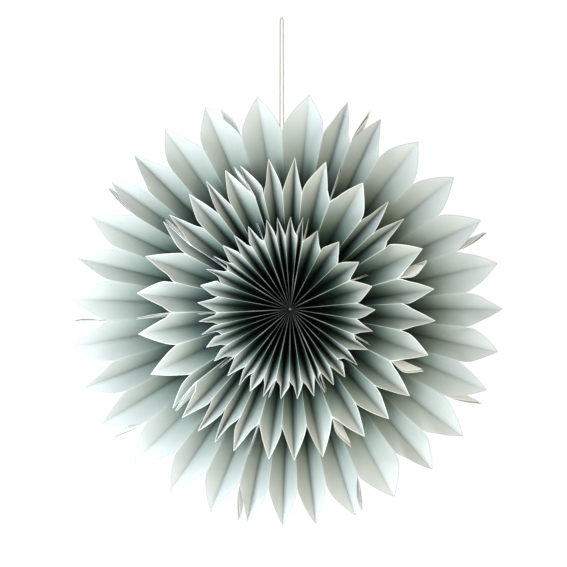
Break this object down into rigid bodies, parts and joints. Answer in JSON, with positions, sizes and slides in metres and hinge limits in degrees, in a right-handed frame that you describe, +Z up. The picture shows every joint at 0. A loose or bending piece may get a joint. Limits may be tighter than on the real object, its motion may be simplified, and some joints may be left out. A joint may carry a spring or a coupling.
{
  "type": "hanging pleated paper rosette",
  "caption": "Round hanging star decoration of pleated paper: stacked tiers of leaf-pointed pleats, shaded from dark green at the hub to pale tips, on a doubled cord.",
  "frame": {"origin": "inside of the hanging cord's loop, where a hook carries it", "axes": "+Z up along the hanging cord, -Y towards the front of the rosette, +X to the right as seen from the front"},
  "size_m": [0.4575, 0.0851, 0.5377],
  "materials": {
    "printed_paper": "matte",
    "cord": "matte",
    "thread": "matte"
  },
  "bodies": {
    "root": {"outer_strip_1": "printed_paper", "outer_strip_2": "printed_paper", "outer_strip_3": "printed_paper", "outer_strip_4": "printed_paper", "outer_strip_5": "printed_paper", "outer_strip_6": "printed_paper", "outer_strip_7": "printed_paper", "outer_strip_8": "printed_paper", "outer_strip_9": "printed_paper", "middle_strip_1": "printed_paper", "middle_strip_2": "printed_paper", "middle_strip_3": "printed_paper", "middle_strip_4": "printed_paper", "middle_strip_5": "printed_paper", "middle_strip_6": "printed_paper", "middle_strip_7": "printed_paper", "middle_strip_8": "printed_paper", "middle_strip_9": "printed_paper", "inner_strip_1": "printed_paper", "inner_strip_2": "printed_paper", "inner_strip_3": "printed_paper", "inner_strip_4": "printed_paper", "inner_strip_5": "printed_paper", "inner_strip_6": "printed_paper", "inner_strip_7": "printed_paper", "inner_strip_8": "printed_paper", "inner_strip_9": "printed_paper", "centre_thread": "thread", "hanging_cord": "cord", "cord_knot": "cord"}
  },
  "joints": []
}
